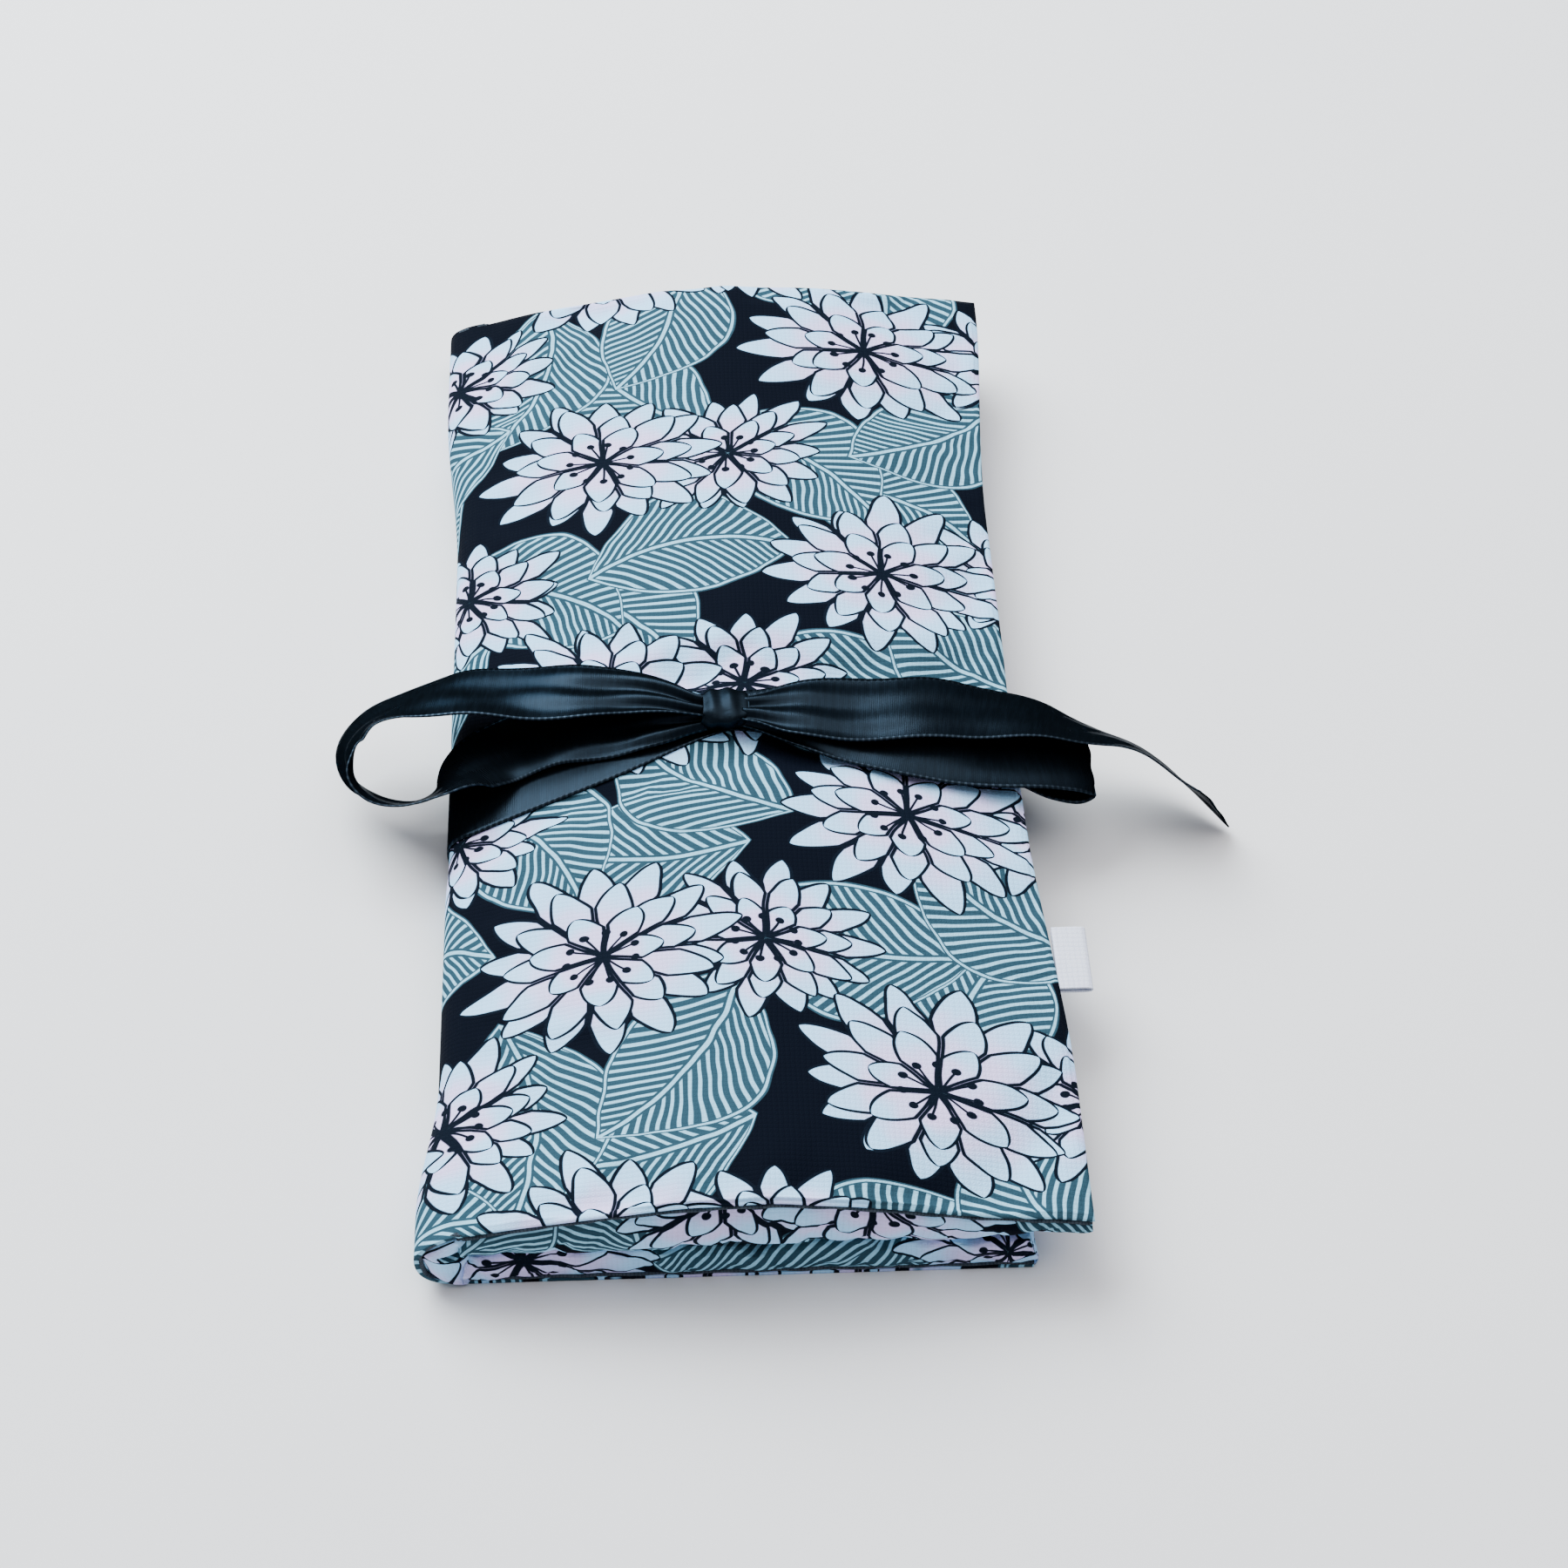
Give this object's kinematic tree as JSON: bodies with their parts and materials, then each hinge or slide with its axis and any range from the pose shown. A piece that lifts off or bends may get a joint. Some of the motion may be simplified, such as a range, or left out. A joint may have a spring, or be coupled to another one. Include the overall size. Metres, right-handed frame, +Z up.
{
  "type": "travel jewelry pouch",
  "caption": "Padded fabric jewelry pouch folded like a book, with zipped and slip pockets and a ring bar inside, tied shut with a satin ribbon bow.",
  "frame": {"origin": "middle of the underside of the back panel, where the closed pouch lies on a table", "axes": "+X across the pouch from the fold to the free edge, +Y along its length, +Z up out of the cover"},
  "size_m": [0.1623, 0.215, 0.0255],
  "materials": {
    "print": "printed cotton, matte, fine plain weave",
    "lining": "dark plain-weave lining, matte",
    "wadding": "soft polyester wadding",
    "satin": "black satin ribbon, soft sheen",
    "tape": "woven zip tape, matte",
    "teeth": "dark moulded coil",
    "metal": "plated metal",
    "label": "plain woven label tape"
  },
  "bodies": {
    "back": {"back_outer": "print", "back_wadding": "wadding", "back_lining": "print", "back_pocket_front_inner": "lining", "back_pocket_front_outer": "lining", "back_slip_pocket": "lining", "back_slip_pocket_binding": "satin", "ring_bar": "lining", "ring_bar_anchor": "lining", "snap_socket": "metal", "snap_stud": "metal", "spine_fabric": "print", "spine_lining": "print", "ribbon_under": "satin", "ribbon_fold_turn": "satin", "back_zip_tape_inner": "tape", "back_zip_tape_outer": "tape", "back_zip_teeth_inner": "teeth", "back_zip_teeth_outer": "teeth", "back_zip_bottom_stop": "metal", "back_zip_top_stop_inner": "metal", "back_zip_top_stop_outer": "metal"},
    "back_zip_slider": {"back_zip_slider": "metal"},
    "back_zip_pull": {"back_zip_pull": "metal"},
    "cover": {"cover_outer": "print", "cover_wadding": "wadding", "cover_lining": "print", "cover_pocket_front_inner": "lining", "cover_pocket_front_outer": "lining", "cover_slip_pocket": "lining", "cover_slip_pocket_binding": "satin", "cover_zip_tape_inner": "tape", "cover_zip_tape_outer": "tape", "cover_zip_teeth_inner": "teeth", "cover_zip_teeth_outer": "teeth", "cover_zip_bottom_stop": "metal", "cover_zip_top_stop_inner": "metal", "cover_zip_top_stop_outer": "metal", "label": "label", "ribbon_wrap": "satin", "ribbon_knot": "satin", "ribbon_loop_left": "satin", "ribbon_loop_right": "satin", "ribbon_tail": "satin"},
    "cover_zip_slider": {"cover_zip_slider": "metal"},
    "cover_zip_pull": {"cover_zip_pull": "metal"}
  },
  "joints": [
    {"name": "cover_hinge", "type": "hinge", "parent": "back", "child": "cover", "pos_m": [-0.048, 0, 0.0093], "axis": [0, -1, 0], "range_deg": [0, 170], "deforming": ["spine_fabric", "spine_lining", "ribbon_fold_turn", "ribbon_loop_left"]},
    {"name": "back_zip_slide", "type": "slide", "parent": "back", "child": "back_zip_slider", "axis": [0, -1, 0], "range_m": [0, 0.149], "deforming": ["back_zip_tape_inner", "back_zip_tape_outer", "back_zip_teeth_inner", "back_zip_teeth_outer"]},
    {"name": "back_zip_pull_turn", "type": "hinge", "parent": "back_zip_slider", "child": "back_zip_pull", "pos_m": [0.0255, 0.07925, 0.00975], "axis": [0, 0, 1], "range_deg": [-30, 30]},
    {"name": "cover_zip_slide", "type": "slide", "parent": "cover", "child": "cover_zip_slider", "axis": [0, -1, 0], "range_m": [0, 0.149], "deforming": ["cover_zip_tape_inner", "cover_zip_tape_outer", "cover_zip_teeth_inner", "cover_zip_teeth_outer"]},
    {"name": "cover_zip_pull_turn", "type": "hinge", "parent": "cover_zip_slider", "child": "cover_zip_pull", "pos_m": [-0.02, 0.07925, 0.00795], "axis": [0, 0, 1], "range_deg": [-30, 30]}
  ]
}
